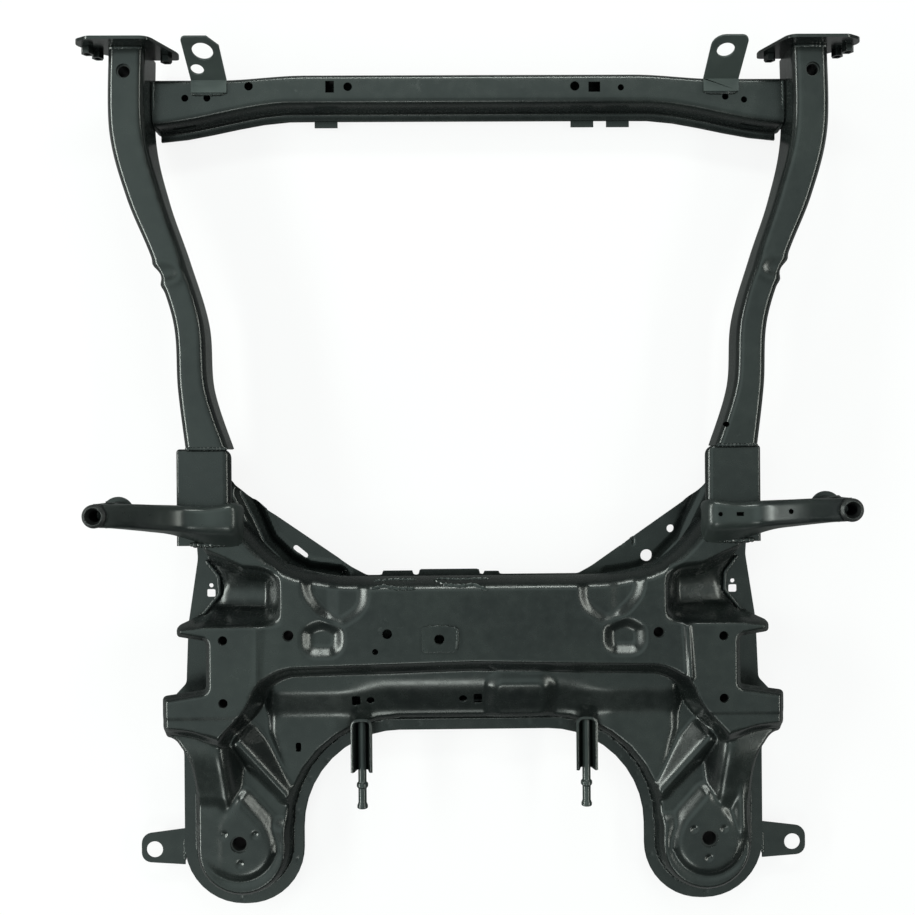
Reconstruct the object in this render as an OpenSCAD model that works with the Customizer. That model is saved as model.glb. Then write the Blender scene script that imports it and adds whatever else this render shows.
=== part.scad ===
// Front subframe of a small car: a pressed and welded cradle at the rear, two curved rails that run
// forward to a box crossmember, and two horns that rise outward to the body.
// Millimetres. +Y points to the front of the car, +X to the right of the picture, +Z up.
// The origin is under the middle of the frame, on the surface that the frame lies on.

/* [Frame] */
// Length from the rear lobes to the front plates
frame_len = 1095; // [1085:1:1105]
// Distance between the two front body mount holes
front_mount_span = 856; // [850:1:862]
// Distance between the two horn sleeves
horn_span = 856; // [850:1:862]
// Distance between the two rear body mount holes
rear_mount_span = 600; // [596:1:604]
// Thickness of the pressed sheets
sheet = 2.5; // [2:0.1:3]

/* [Cradle] */
// Height of the flange where the two cradle pressings meet
flange_z = 20; // [18:0.5:22]
// Height of the bearing pads and of the beam between them
pad_z = 92; // [88:0.5:96]
// Height of the rear lobes' mounting pads
lobe_z = 58; // [54:0.5:62]
// Half width of the pads, out to the lip over the arm pockets
pad_half = 335; // [331:0.5:338]
// Radius of a rear lobe's wall
lobe_r = 63; // [60:0.5:66]
// Depth of the steering wells pressed into the beam
well_depth = 14; // [8:0.5:18]
// Width over which a pressed wall leans out
draft_w = 15; // [13:0.5:19]
// Cell of the pressed surface
cell = 11.8; // [11.8:0.1:14]

/* [Bolt holes] */
// Bore of the rear body mount sleeves
rear_bore = 18; // [14:0.5:20]
// Bore of the front body mount sleeves
front_bore = 14.5; // [12:0.5:16]
// Bore of the horn sleeves
horn_bore = 13; // [10:0.5:15]
// Bore of the control arm tubes
arm_bore = 11; // [9:0.5:12]
// Distance between the two control arm tubes of one side
arm_pitch = 78; // [76:0.5:80]
// Bore of the steering gear tubes
rack_bore = 12.5; // [10:0.5:13.5]
// Distance between the steering gear tubes
rack_span = 462; // [456:1:468]
// Hole in each rear tab
tab_hole = 21; // [16:0.5:24]

/* [Rails] */
// Width of a rail at the front
rail_w = 45; // [42:0.5:48]
// Width of a rail at its waist
rail_waist = 37; // [34:0.5:42]
// Height of a rail behind the crossmember
rail_h = 55; // [50:0.5:60]
// Wall of the rail tube
rail_wall = 2.5; // [2:0.1:3]
// Height of the top of the rails
rail_top = 95; // [93.5:0.5:99]

/* [Crossmember] */
// Height of the crossmember's top face
cross_z = 55; // [50:0.5:60]
// Width of the crossmember's top face in the middle
cross_w = 38; // [34:0.5:44]
// How much wider the crossmember is where it meets the rails
cross_flare = 27; // [18:0.5:34]
// Angle of the radiator tabs to the top face
tab_tilt = 60; // [55:1:64]

/* [Horns] */
// Height of the top of the horn sleeves
horn_top = 225; // [215:1:235]
// Depth of the horn's box section
horn_h = 30; // [27:0.5:33]
// Outside diameter of the horn sleeve
sleeve_od = 27; // [24:0.5:30]

/* [Exhaust hangers] */
// Diameter of a hanger rod
rod_d = 10.5; // [9:0.1:12]
// How far a rod reaches behind its bracket
rod_reach = 48; // [40:1:60]

/* [Hidden] */
$fn = 48;

paint = [0.16, 0.18, 0.18];
paint_light = [0.24, 0.26, 0.26];
rear_y = -frame_len / 2;
front_y = frame_len / 2;
// Gap left between two sheets that lie on each other
gap = 0.2;
lobe_x = rear_mount_span / 2 - 2;
lobe_y = rear_y + lobe_r + 16;
mount_y = lobe_y + 10.5;
flange_w = 16;
arch_half = lobe_x - lobe_r;
arch_y = rear_y + 240;
lip_y0 = rear_y + 352;
lip_y1 = rear_y + 292;
arm_x = 312;
arm_y = (lip_y0 + lip_y1) / 2 - 7;
rack_y = rear_y + 359;
chute_y = rear_y + 410;
shell_z = flange_z + gap + sheet;
beam_front = rear_y + 432;
beam_rear = rear_y + 311;
socket_in = 294;
socket_out = 364;
socket_front = rear_y + 592;
socket_rear = rear_y + 472;
socket_top = pad_z;
plate_t = 4;
plate_y = front_y - plate_t;
rail_x = front_mount_span / 2 - 2;
rail_in = rail_x - rail_w / 2;
mount_front_y = front_y - 35;
cross_front = front_y - 26;
cross_rear = cross_front - cross_w;
cross_low = 10;
horn_x = horn_span / 2;
horn_y = rear_y + 516;

// Blends and distances that the pressed surface is made from
function clamp01(t) = max(0, min(1, t));
function ease(t) = let (u = clamp01(t)) u * u * (3 - 2 * u);
function inside(d, w) = ease(0.5 - d / w);
function mix(a, b, t) = a + (b - a) * t;
function to_segment(p, a, b) =
    let (v = b - a, t = clamp01((p - a) * v / (v * v)))
    norm(p - a - t * v);
function to_box(p, c, half, r) =
    let (q = [abs(p.x - c.x) - half.x + r, abs(p.y - c.y) - half.y + r])
    norm([max(q.x, 0), max(q.y, 0)]) + min(max(q.x, q.y), 0) - r;
function crosses(p, a, b) =
    (a.y > p.y) != (b.y > p.y) && p.x < (b.x - a.x) * (p.y - a.y) / (b.y - a.y) + a.x ? 1 : 0;
function sum(v) = v * [for (i = v) 1];
function to_outline(p, o) =
    let (n = len(o),
         d = min([for (i = [0:n - 1]) to_segment(p, o[i], o[(i + 1) % n])]),
         hits = sum([for (i = [0:n - 1]) crosses(p, o[i], o[(i + 1) % n])]))
    hits % 2 == 1 ? -d : d;

// An outline from corners [x, y, run]: each corner becomes an arc that starts and ends run before it
function arc_corners(c, steps = 5) = [
    for (i = [0:len(c) - 1])
        let (n = len(c),
             p = [c[i].x, c[i].y],
             a = c[(i + n - 1) % n],
             b = c[(i + 1) % n],
             u = ([a.x, a.y] - p) / norm([a.x, a.y] - p),
             v = ([b.x, b.y] - p) / norm([b.x, b.y] - p),
             w = sqrt((1 - u * v) / 2),
             run = c[i][2])
        each run == 0 ? [p] : [
            for (k = [0:steps])
                let (t = k / steps, s = 1 - t)
                (s * s * (p + u * run) + 2 * w * s * t * p + t * t * (p + v * run))
                    / (s * s + 2 * w * s * t + t * t)]];
// Both halves of a shape that is given for the right side, from the front round to the rear
function both(half) = concat(half, [for (i = [len(half) - 1:-1:0]) [-half[i].x, half[i].y, half[i][2]]]);

// Edge of the cradle's upper pressing, right half
shell_edge = [
    [195, beam_front + 4, 45],
    [250, beam_front + 26, 30],
    [socket_in - 2.8, beam_front + 76, 0],
    [socket_in - 2.8, socket_rear - 0.4, 0],
    [349, socket_rear - 0.4, 4],
    [349, chute_y + 40, 8],
    [331, chute_y + 17, 10],
    [330, chute_y - 6, 10],
    [351, chute_y - 31, 6],
    [371, lip_y0 + 19, 4],
    [371, lip_y0 + 6, 4],
    [pad_half, lip_y0, 4],
    [pad_half, lip_y1, 4],
    [389, lip_y1 - 8, 5],
    [389, lip_y1 - 62, 8],
    [lobe_x + lobe_r + flange_w, lip_y1 - 90, 10],
    [lobe_x + lobe_r + flange_w, rear_y + 1, lobe_r + flange_w - 2],
    [arch_half - flange_w, rear_y + 1, lobe_r + flange_w - 2],
    [arch_half - flange_w, arch_y - flange_w, 125]];

// Foot of the walls of the upper pressing, right half and a little past the middle
wall_line = arc_corners([
    [-80, beam_front, 0],
    [195, beam_front, 45],
    [247, beam_front + 21, 30],
    [290, beam_front + 70, 0],
    [290, beam_front + 140, 0],
    [344, beam_front + 140, 0],
    [344, chute_y + 40, 6],
    [326, chute_y + 17, 10],
    [325, chute_y - 6, 10],
    [346, chute_y - 31, 4],
    [440, lip_y0 + 22, 0],
    [440, lip_y1 - 70, 0],
    [383, lip_y1 - 70, 8],
    [366, lip_y1 - 95, 14],
    [lobe_x + lobe_r, lip_y1 - 130, 18],
    [lobe_x + lobe_r, lobe_y - lobe_r, lobe_r],
    [arch_half, lobe_y - lobe_r, lobe_r],
    [arch_half, arch_y, 138],
    [-80, arch_y, 0]], 4);

// Foot of the walls that step up to the beam and the pads
pad_line = arc_corners([
    [-80, 100, 0],
    [460, 100, 0],
    [460, lip_y1 - 67, 0],
    [385, lip_y1 - 67, 8],
    [308, lip_y1 - 70, 14],
    [272, lip_y1 - 30, 22],
    [264, beam_rear - 22, 12],
    [240, beam_rear - 4, 16],
    [-80, beam_rear + 4, 0]], 3);

// Height of the pressed surface at [x, y]
function low_z(p, q) =
    let (trough = lobe_z + 6 - 18 * ease((beam_rear - 20 - p.y) / 46),
         pad = lobe_z - 9 + 9 * inside(norm(p - [rear_mount_span / 2, mount_y - 2]) - 42, 14),
         ribs = 11 * inside(to_segment(p, [307, lip_y1 - 66], [303, mount_y + 50]) - 5, 14)
             + 11 * inside(to_segment(p, [296, lip_y1 - 72], [250, mount_y + 60]) - 5, 14),
         bump = 8 * inside(to_box(q, [68, beam_rear - 32], [26, 20], 10), 14))
    mix(trough, pad, ease((lip_y1 - 80 - p.y) / 50)) + bump + min(11, ribs);
function high_z(p) =
    let (floor_z = flange_z + 4 + 0.32 * (330 - p.x),
         chute = ease((p.x - 243) / 20) * ease((p.y - chute_y + 41.5) / 20)
             * ease((chute_y + 32.5 - p.y) / 22),
         bowl = ease((212 - p.x) / 14) * ease((p.x - 128) / 50) * ease((p.y - beam_front + 62.5) / 16)
             * ease((beam_front - 2.5 - p.y) / 6),
         pocket = ease((212 - p.x) / 12) * ease((p.x - 158) / 30) * ease((p.y - beam_front + 103.5) / 14)
             * ease((beam_front - 50.5 - p.y) / 14),
         step = 1.5 * inside(270 - p.x, 8) * inside(to_box(p, [330, lip_y0 - 35], [62, 60], 8), 8),
         top = pad_z - well_depth * (bowl + 0.9 * pocket) + step - 1.5)
    mix(top, min(top, floor_z), chute);
function shell_top(q) =
    let (p = [abs(q.x), q.y],
         low = low_z(p, q),
         z = mix(low, high_z(p), inside(to_outline(p, pad_line), draft_w)))
    mix(shell_z, max(z, shell_z), inside(to_outline(p, wall_line), draft_w));

// Lines of a grid through the given places, at most step apart
function grid_lines(keys, step) = [
    for (i = [0:len(keys) - 2])
        let (n = ceil((keys[i + 1] - keys[i]) / step - 0.01))
        each [for (k = [0:n - 1]) mix(keys[i], keys[i + 1], k / n)],
    keys[len(keys) - 1]];
function closest(p, a, b) = let (v = b - a) a + clamp01((p - a) * v / (v * v)) * v;
function onto_outline(p, o) =
    let (n = len(o),
         c = [for (i = [0:n - 1]) closest(p, o[i], o[(i + 1) % n])],
         d = [for (q = c) norm(p - q)])
    c[search(min(d), d)[0]];

// Area of a triangle in plan
function spread(a, b, c) = abs((b.x - a.x) * (c.y - a.y) - (b.y - a.y) * (c.x - a.x)) / 2;

// A pressed sheet over the grid cells that lie within an outline. Its rim is drawn onto the
// outline, and its thickness is square to the surface.
module pressed_sheet(xs, ys, edge, t) {
    nx = len(xs);
    ny = len(ys);
    inner = [
        for (j = [0:ny - 2])
            [for (i = [0:nx - 2])
                to_outline([abs(xs[i] + xs[i + 1]) / 2, (ys[j] + ys[j + 1]) / 2], edge) < 0]];
    function cell_in(i, j) = i >= 0 && j >= 0 && i < nx - 1 && j < ny - 1 && inner[j][i];
    function lone(i, j) =
        !cell_in(i, j) && ((cell_in(i + 1, j) && cell_in(i, j + 1) && !cell_in(i + 1, j + 1))
            || (cell_in(i - 1, j) && cell_in(i, j + 1) && !cell_in(i - 1, j + 1)));
    kept = [for (j = [0:ny - 2]) [for (i = [0:nx - 2]) inner[j][i] || lone(i, j)]];
    function has(i, j) = i >= 0 && j >= 0 && i < nx - 1 && j < ny - 1 && kept[j][i];
    function cells_at(i, j) = len([for (a = [-1, 0], b = [-1, 0]) if (has(i + a, j + b)) 1]);
    function rim_at(i, j) = cells_at(i, j) % 4 > 0;
    function placed(i, j) =
        let (p = [xs[i], ys[j]],
             q = rim_at(i, j) ? onto_outline([abs(p.x), p.y], edge) : [abs(p.x), p.y])
        [p.x < 0 ? -q.x : q.x, q.y];
    rows = [
        for (j = [0:ny - 1])
            [for (i = [0:nx - 1]) let (q = placed(i, j)) [q.x, q.y, shell_top(q)]]];
    top = [for (j = [0:ny - 1], i = [0:nx - 1]) rows[j][i]];
    under = [
        for (j = [0:ny - 1], i = [0:nx - 1])
            let (du = rows[j][min(i + 1, nx - 1)] - rows[j][max(i - 1, 0)],
                 dv = rows[min(j + 1, ny - 1)][i] - rows[max(j - 1, 0)][i],
                 n = cross(du, dv))
            rows[j][i] - t * n / norm(n)];
    m = nx * ny;
    skin = [
        for (j = [0:ny - 2], i = [0:nx - 2])
            if (kept[j][i])
                let (a = j * nx + i, b = a + 1, c = a + nx + 1, d = a + nx,
                     ac = min(spread(top[a], top[b], top[c]), spread(top[a], top[c], top[d])),
                     bd = min(spread(top[a], top[b], top[d]), spread(top[b], top[c], top[d])),
                     level = abs(top[a].z - top[c].z) <= abs(top[b].z - top[d].z))
                each ac > 3 * bd || (3 * ac > bd && level) ? [[a, c, b], [a, d, c]] : [[a, d, b], [b, d, c]]];
    back = [for (f = skin) [f[2] + m, f[1] + m, f[0] + m]];
    rim = [
        for (j = [0:ny - 2], i = [0:nx - 2])
            if (kept[j][i])
                let (a = j * nx + i, b = a + 1, c = a + nx + 1, d = a + nx)
                each [
                    if (!has(i, j - 1)) [a, b],
                    if (!has(i + 1, j)) [b, c],
                    if (!has(i, j + 1)) [c, d],
                    if (!has(i - 1, j)) [d, a]]];
    side = [for (e = rim) each [[e[0], e[1], e[1] + m], [e[0], e[1] + m, e[0] + m]]];
    polyhedron(concat(top, under), concat(skin, back, side), convexity = 10);
}

// A tube or channel through rings of points: the first half of each ring is its outside, the rest its inside
module swept_wall(rings, closed) {
    n = len(rings[0]) / 2;
    m = len(rings);
    pts = [for (r = rings) each r];
    last = closed ? n - 1 : n - 2;
    function at(s, k, inner) = s * 2 * n + (inner ? n : 0) + k % n;
    outside = [
        for (s = [0:m - 2], k = [0:last])
            each [[at(s, k, false), at(s, k + 1, false), at(s + 1, k + 1, false)],
                  [at(s, k, false), at(s + 1, k + 1, false), at(s + 1, k, false)]]];
    inner = [
        for (s = [0:m - 2], k = [0:last])
            each [[at(s, k, true), at(s + 1, k + 1, true), at(s, k + 1, true)],
                  [at(s, k, true), at(s + 1, k, true), at(s + 1, k + 1, true)]]];
    start = [
        for (k = [0:last])
            each [[at(0, k, false), at(0, k, true), at(0, k + 1, true)],
                  [at(0, k, false), at(0, k + 1, true), at(0, k + 1, false)]]];
    end = [
        for (k = [0:last])
            each [[at(m - 1, k, false), at(m - 1, k + 1, true), at(m - 1, k, true)],
                  [at(m - 1, k, false), at(m - 1, k + 1, false), at(m - 1, k + 1, true)]]];
    rims = closed ? [] : [
        for (s = [0:m - 2])
            each [[at(s, 0, false), at(s + 1, 0, false), at(s + 1, 0, true)],
                  [at(s, 0, false), at(s + 1, 0, true), at(s, 0, true)],
                  [at(s, n - 1, false), at(s + 1, n - 1, true), at(s + 1, n - 1, false)],
                  [at(s, n - 1, false), at(s, n - 1, true), at(s + 1, n - 1, true)]]];
    polyhedron(pts, concat(outside, inner, start, end, rims), convexity = 8);
}

// A smooth line through rows of values
function through(rows, t) =
    let (n = len(rows) - 1,
         i = min(floor(t), n - 1),
         f = t - i,
         a = rows[max(i - 1, 0)],
         b = rows[i],
         c = rows[i + 1],
         d = rows[min(i + 2, n)])
    0.5 * (2 * b + (c - a) * f + (2 * a - 5 * b + 4 * c - d) * f * f + (3 * b - a - 3 * c + d) * f * f * f);

module at_side(side) {
    if (side < 0)
        mirror([1, 0, 0]) children();
    else
        children();
}

module drill(x, y, z, d, depth) {
    translate([x, y, z - depth / 2]) cylinder(d = d, h = depth);
}

module square_hole(x, y, z, w, l, depth) {
    translate([x - w / 2, y - l / 2, z - depth / 2]) cube([w, l, depth]);
}

module slot_hole(x, y, z, w, l, a, depth) {
    translate([x, y, z - depth / 2]) rotate(a) linear_extrude(depth) {
        square([l - w, w], center = true);
        for (s = [-1, 1])
            translate([s * (l - w) / 2, 0]) circle(d = w);
    }
}

// Lower pressing of the cradle: a shallow tray with a flange all round and wings at the front corners
tray_edge = [
    [240, beam_front - 12, 30],
    [329, lip_y0 + 30, 24],
    [329, lip_y1 - 30, 30],
    [lobe_x + lobe_r - 8, lip_y1 - 120, 20],
    [lobe_x + lobe_r - 8, lobe_y - lobe_r + 8, lobe_r - 10],
    [arch_half + 8, lobe_y - lobe_r + 8, lobe_r - 10],
    [arch_half + 8, arch_y + 8, 145]];
plate_edge = [
    [150, beam_front + 2, 6],
    [socket_in + 4, beam_front + 106, 6],
    [socket_in + 10, beam_front + 130, 4],
    [socket_out + 2, beam_front + 130, 8],
    [358, chute_y + 40, 4],
    [371, lip_y0 + 12, 6],
    [374, lip_y1 - 4, 4],
    [389, lip_y1 - 20, 4],
    [389, lip_y1 - 62, 8],
    [lobe_x + lobe_r + flange_w, lip_y1 - 90, 10],
    [lobe_x + lobe_r + flange_w, rear_y, lobe_r + flange_w - 30],
    [arch_half - flange_w - 1, rear_y, lobe_r + flange_w - 4],
    [arch_half - flange_w - 1, arch_y - flange_w - 1, 125]];

module lower_plate() {
    color(paint) difference() {
        union() {
            translate([0, 0, flange_z - sheet]) linear_extrude(sheet) polygon(arc_corners(both(plate_edge)));
            linear_extrude(flange_z - sheet / 2) polygon(arc_corners(both(tray_edge)));
        }
        translate([0, 0, sheet])
            linear_extrude(flange_z) offset(delta = -sheet) polygon(arc_corners(both(tray_edge)));
        for (s = [-1, 1]) {
            drill(s * rear_mount_span / 2, mount_y, 0, rear_bore + 2, 20);
            drill(s * rack_span / 2, rack_y, 0, rack_bore + 2, 20);
            for (k = [-0.5, 0.5])
                drill(s * arm_x, arm_y + k * arm_pitch, flange_z / 2, arm_bore + 1, 60);
            drill(s * 341, chute_y + 5, flange_z, 6, 20);
            square_hole(s * 341, chute_y - 5, flange_z, 11, 10, 20);
            drill(s * 120, beam_front - 120, 0, 14, 20);
        }
        slot_hole(-224, beam_front + 26, flange_z, 7, 23, 40, 20);
        drill(260, beam_front + 52, flange_z, 10.5, 20);
        drill(228, beam_front + 17, flange_z, 16, 20);
        square_hole(-72, beam_front + 2, flange_z, 20, 6, 20);
        square_hole(42, beam_front + 2, flange_z, 10, 4, 20);
    }
}

// Drilled tab that is welded to the flange at a rear corner
module rear_tab(side) {
    x0 = lobe_x + lobe_r + flange_w + gap;
    x1 = lobe_x + 136;
    color(paint) at_side(side) translate([0, 0, flange_z - sheet]) difference() {
        linear_extrude(sheet) polygon(arc_corners([[x0, mount_y + 9, 0], [x1, mount_y + 2, 12],
            [x1, mount_y - 34, 12], [x0, mount_y - 38, 0]]));
        drill(lobe_x + 119, mount_y - 18, 0, tab_hole, 20);
    }
}

// Upper pressing of the cradle: beam, bearing pads, rear trough, lobes and flange in one sheet
module upper_shell() {
    half_x = [0, 171, 219, 256, socket_in - 2.8, 331, 349, 371, 389];
    xs = [for (i = [len(half_x) - 1:-1:1]) -half_x[i], each half_x];
    ys = [rear_y + 1, lobe_y, arch_y - flange_w, lip_y1 - 62, lip_y1 - 8, lip_y1, lip_y0, lip_y0 + 6,
        lip_y0 + 19, chute_y - 31, chute_y, beam_front + 4, socket_rear - 0.4, beam_front + 76];
    edge = arc_corners(concat([[-80, beam_front + 4, 0]], shell_edge, [[-80, arch_y - flange_w, 0]]));
    color(paint_light) difference() {
        pressed_sheet(grid_lines(xs, cell), grid_lines(ys, cell), edge, sheet);
        for (s = [-1, 1]) {
            drill(s * rear_mount_span / 2, mount_y, lobe_z, rear_bore + 5, 40);
            for (k = [-0.5, 0.5])
                drill(s * arm_x, arm_y + k * arm_pitch, pad_z, arm_bore + 1, 40);
            drill(s * rack_span / 2, rack_y, pad_z, rack_bore + 2, 40);
        }
        drill(-108, rack_y + 1, pad_z, 12.5, 40);
        drill(-123, rack_y - 21, pad_z, 7.8, 40);
        drill(-43, rack_y - 6, pad_z, 12.5, 40);
        square_hole(-150, arch_y + 30, lobe_z, 10.5, 14, 40);
        drill(-132, arch_y + 30, lobe_z, 10.5, 40);
        drill(-14, arch_y + 31, lobe_z, 10.5, 40);
        square_hole(5, arch_y + 31, lobe_z, 10.5, 14, 40);
        square_hole(-225, arch_y - 30, lobe_z, 7, 12, 60);
    }
}

// Spacer tube that stands between two sheets, bored for a bolt
module tube(x, y, z0, z1, od, bore) {
    translate([x, y, z0]) difference() {
        cylinder(d = od, h = z1 - z0);
        translate([0, 0, -1]) cylinder(d = bore, h = z1 - z0 + 2);
    }
}

module rear_sleeve(side) {
    color(paint) tube(side * rear_mount_span / 2, mount_y, sheet + gap, lobe_z - sheet - gap, rear_bore + 12, rear_bore);
}

module arm_tubes(side) {
    color(paint) for (k = [-0.5, 0.5])
        tube(side * arm_x, arm_y + k * arm_pitch, sheet + gap, pad_z - 1.5 - sheet - gap, arm_bore + 10, arm_bore);
}

module rack_tube(side) {
    color(paint) tube(side * rack_span / 2, rack_y, sheet + gap, pad_z - 1.5 - sheet - gap, rack_bore + 8, rack_bore);
}

// Square reinforcing plate on the beam
module washer_plate() {
    color(paint_light) translate([-43, rack_y - 6, pad_z - 1.5 + gap]) difference() {
        linear_extrude(sheet) polygon(arc_corners([[-22, -16, 4], [22, -16, 4], [22, 16, 4], [-22, 16, 4]]));
        drill(0, 0, 0, 12.5, 20);
    }
}

// Channel that carries the end of a rail on the front corner of the cradle
module socket(side) {
    r = 12;
    outer = [[socket_in, flange_z + gap, 0], [socket_in, socket_top, r], [socket_out, socket_top, r],
        [socket_out, flange_z + gap, 0]];
    inner = [[socket_in + sheet, flange_z - 9, 0], [socket_in + sheet, socket_top - sheet, r - sheet],
        [socket_out - sheet, socket_top - sheet, r - sheet], [socket_out - sheet, flange_z - 9, 0]];
    color(paint) at_side(side) difference() {
        translate([0, socket_front, 0]) rotate([90, 0, 0])
            linear_extrude(socket_front - socket_rear) polygon(arc_corners(outer));
        translate([0, socket_front - sheet, 0]) rotate([90, 0, 0])
            linear_extrude(socket_front - socket_rear) polygon(arc_corners(inner));
    }
}

// Rail tube: its outer and inner sides follow two curves in plan
rail_rows = [
    [plate_y - gap, rail_x + rail_w / 2, rail_in, cross_z - 28],
    [front_y - 107, rail_x + rail_w / 2, rail_in, cross_z - 28],
    [front_y - 189, 428, 428 - rail_w, rail_top - rail_h],
    [front_y - 263, 398, 398 - rail_w + 5, rail_top - rail_h],
    [front_y - 345, 371, 371 - rail_waist, rail_top - rail_h],
    [front_y - 427, 366, 366 - rail_waist - 1, rail_top - rail_h],
    [socket_front + gap, 357, 304, rail_top - rail_h]];

function rail_ring(row, r, inset) =
    let (c = [[row[1] - inset, row[3] + inset], [row[1] - inset, rail_top - inset],
              [row[2] + inset, rail_top - inset], [row[2] + inset, row[3] + inset]])
    [for (k = [0:3], a = [0:30:90])
        let (s = [[1, -1], [1, 1], [-1, 1], [-1, -1]][k], t = a + 90 * (k - 1))
        [c[k].x - s.x * r + r * cos(t), row[0], c[k].y - s.y * r + r * sin(t)]];

module rail(side) {
    r = 10;
    steps = 3;
    last = (len(rail_rows) - 1) * steps;
    rings = [
        for (k = [0:last])
            let (row = through(rail_rows, k / steps))
            concat(rail_ring(row, r, 0), rail_ring(row, r - rail_wall, rail_wall))];
    color(paint) at_side(side) difference() {
        swept_wall(rings, true);
        drill(front_mount_span / 2, mount_front_y, rail_top, front_bore + 4, 20);
        drill(front_mount_span / 2, mount_front_y, cross_z - 28, front_bore + 2, 20);
        if (side > 0)
            drill(317, socket_front + 26, rail_top, 6.7, 20);
    }
}

module rail_sleeve(side) {
    color(paint) tube(side * front_mount_span / 2, mount_front_y, cross_z - 28 + rail_wall + gap,
        rail_top - rail_wall - gap, front_bore + 9, front_bore);
}

// Crossmember: an upper channel on a shallow tray
function cross_back(x) = cross_rear - cross_flare * ease((abs(x) - 225) / 190);
function cross_fore(x) = cross_front - 6 * ease((abs(x) - 210) / 110);
function cross_outline(dx, fore, back) =
    let (e = rail_in - gap - dx, xs = [for (k = [-12:12]) e * k / 12])
    concat([for (x = xs) [x, cross_fore(x) + fore]],
           [for (i = [24:-1:0]) [xs[i], cross_back(xs[i]) - back]]);

module cross_upper() {
    color(paint_light) difference() {
        union() {
            translate([0, 0, cross_low]) linear_extrude(cross_z - cross_low) polygon(cross_outline(0, 0, 0));
            translate([0, 0, cross_low]) linear_extrude(sheet) polygon(cross_outline(0, 0, 9));
        }
        translate([0, 0, cross_low - 1])
            linear_extrude(cross_z - cross_low - sheet + 1) polygon(cross_outline(sheet, -sheet, -sheet));
        cross_holes();
        drill(-362, front_y - 56, cross_z, 9, 20);
        drill(-334, front_y - 56, cross_z, 9, 20);
        drill(-281, front_y - 41, cross_z, 11, 20);
        drill(194, front_y - 44, cross_z, 8, 20);
        drill(328, front_y - 56, cross_z, 8.5, 20);
        drill(352, front_y - 60, cross_z, 8, 20);
        for (s = [-1, 1])
            translate([s * 368, cross_back(368), 32]) rotate([90, 0, s * -12]) slot_hole(0, 0, 0, 7, 30, 0, 40);
    }
}

// Holes that go through both pieces of the crossmember
module cross_holes() {
    square_hole(-178, front_y - 42, cross_z / 2, 11, 15, 90);
    drill(-155, front_y - 42, cross_z / 2, 11, 90);
    drill(135, front_y - 42, cross_z / 2, 12, 90);
    square_hole(160, front_y - 43, cross_z / 2, 15, 13, 90);
}

module cross_lower() {
    z = cross_low - gap;
    color(paint) difference() {
        union() {
            translate([0, 0, z - sheet]) linear_extrude(sheet) polygon(cross_outline(0, 0, 9));
            linear_extrude(z - sheet / 2) polygon(cross_outline(20, -8, -8));
            for (x = [-188, 149, 196])
                translate([x - 15, cross_rear - 17, z - sheet]) cube([30, 12, sheet]);
        }
        translate([0, 0, sheet]) linear_extrude(20) polygon(cross_outline(20 + sheet, -8 - sheet, -8 - sheet));
        cross_holes();
    }
}

// Plate across the front end of a rail
module end_plate(side) {
    shape = [[-40, 96, 4], [34, 96, 10], [58, 34, 8], [54, 20, 4], [-12, 20, 6], [-46, 52, 8], [-60, 74, 6],
        [-56, 86, 4]];
    color(paint) at_side(side) translate([rail_x, front_y, 0]) rotate([90, 0, 0]) difference() {
        linear_extrude(plate_t)
            polygon(arc_corners([for (p = shape) [-p.x, p.y + rail_top - 72, p[2]]]));
        for (p = [[48, 66], [40, 50], [-42, 36]])
            translate([p.x, p.y + rail_top - 72, -1]) cylinder(d = 9, h = plate_t + 2);
    }
}

module end_nuts(side) {
    color(paint) at_side(side) translate([rail_x, plate_y - gap, 0]) rotate([90, 0, 0])
        for (p = [[48, 66], [40, 50], [-42, 36]])
            translate([p.x, p.y + rail_top - 72, 0]) difference() {
                cylinder(d = 15, h = 8, $fn = 6);
                translate([0, 0, -1]) cylinder(d = 8, h = 10);
            }
}

// Drilled tab on the crossmember that holds the foot of the radiator
module radiator_tab(side) {
    w = 45;
    l = 68;
    x = side < 0 ? -331 : 322;
    edge = side < 0
        ? [[-w / 2, 0, 0], [w / 2, 0, 0], [w / 2, l - 14, 0], [w / 2 - 13, l, 0], [-w / 2, l, 6]]
        : [[-w / 2, 0, 0], [w / 2, 0, 0], [w / 2, l, 9], [-w / 2, l, 16]];
    color(paint_light) translate([x, cross_front - 10, cross_z + gap]) {
        translate([-w / 2, -14, 0]) cube([w, 17, 3]);
        translate([0, 0, 0]) rotate([tab_tilt, 0, 0]) translate([0, 0, -3]) difference() {
            translate([0, 2, 0]) linear_extrude(3) polygon(arc_corners(edge));
            drill(side < 0 ? 1 : -3, l - 20, 0, side < 0 ? 26 : 22, 20);
            if (side < 0)
                drill(-11, 20, 0, 16.5, 20);
        }
    }
}

// Horn: two channels that bend upward from the socket to the sleeve
horn_rows = [
    [286, pad_z + 0.3 + horn_h, horn_y - 20, 44, 0],
    [320, pad_z + 0.3 + horn_h, horn_y - 18, 44, 0],
    [348, pad_z + 4 + horn_h, horn_y - 10, 36, 18],
    [368, pad_z + 16 + horn_h, horn_y - 6, 32, 48],
    [horn_x - 34, mix(pad_z + horn_h, horn_top, 0.46), horn_y - 3, 30, 58],
    [horn_x - 17, horn_top - 14, horn_y - 1, 27, 46]];

function horn_ring(row, d0, d1, wide, t, up) =
    let (y0 = row[2], w = row[3] / 2 - wide, a = row[4], r = 5,
         path = [[-w, d1], [-w, d0 + r * up], [-w + r, d0], [w - r, d0], [w, d0 + r * up], [w, d1]],
         back = [[-w + t, d1], [-w + t, d0 + r * up], [-w + r + 1, d0 + t * up], [w - r - 1, d0 + t * up],
                 [w - t, d0 + r * up], [w - t, d1]])
    [for (q = concat(path, back)) [row[0] + sin(a) * q.y, y0 + q.x, row[1] - cos(a) * q.y]];

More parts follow.
